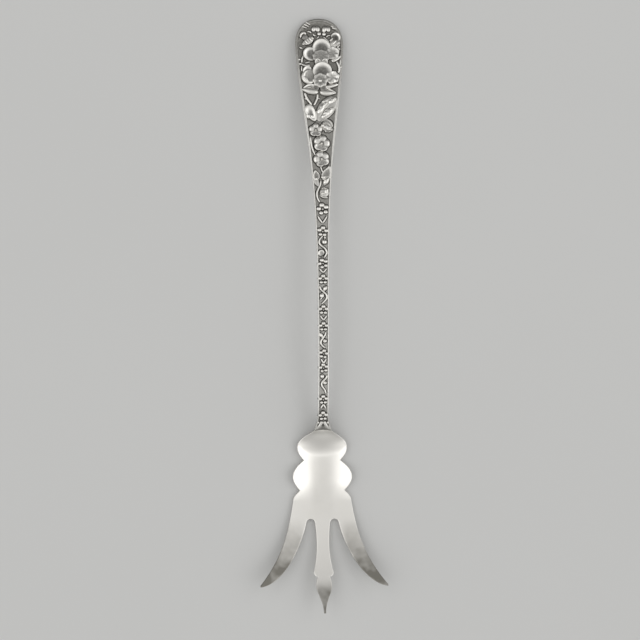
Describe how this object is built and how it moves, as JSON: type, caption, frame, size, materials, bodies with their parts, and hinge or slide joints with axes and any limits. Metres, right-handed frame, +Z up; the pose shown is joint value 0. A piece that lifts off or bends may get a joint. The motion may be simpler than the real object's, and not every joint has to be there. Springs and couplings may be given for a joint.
{
  "type": "serving fork",
  "caption": "Long slim silver serving fork: floral relief along a handle with a broad round end, a lobed shallow bowl, flared outer tines and a spear-ended middle tine.",
  "frame": {"origin": "on the table, at the centre of the fork's bounding box", "axes": "+X across the fork, +Y towards the handle's round end with the tines at -Y, +Z up from the table"},
  "size_m": [0.0494, 0.2292, 0.0132],
  "materials": {
    "polished_silver": "polished sterling silver with fine wear scratches",
    "oxidised_silver": "sterling silver, bright border and back, stippled ground darkened by oxidation",
    "raised_silver": "raised sterling silver, polished on the crests and darkened in the hollows",
    "hard_solder": "silver solder, filed flush"
  },
  "bodies": {
    "root": {"fork_head": "polished_silver", "handle": "oxidised_silver", "solder_seam": "hard_solder", "tip_buds": "raised_silver", "tip_leaves": "raised_silver", "upper_rose": "raised_silver", "rose_twigs": "raised_silver", "lower_rose": "raised_silver", "rose_sepals": "raised_silver", "crossed_stalks": "raised_silver", "leaf_spray": "raised_silver", "blossom_trio": "raised_silver", "trio_vine": "raised_silver", "leaf_pair": "raised_silver", "half_open_bud": "raised_silver", "bud_vine": "raised_silver", "stem_blossoms": "raised_silver", "stem_chevrons": "raised_silver", "stem_vines": "raised_silver", "stem_vine_buds": "raised_silver", "foot_leaves": "raised_silver"}
  },
  "joints": []
}
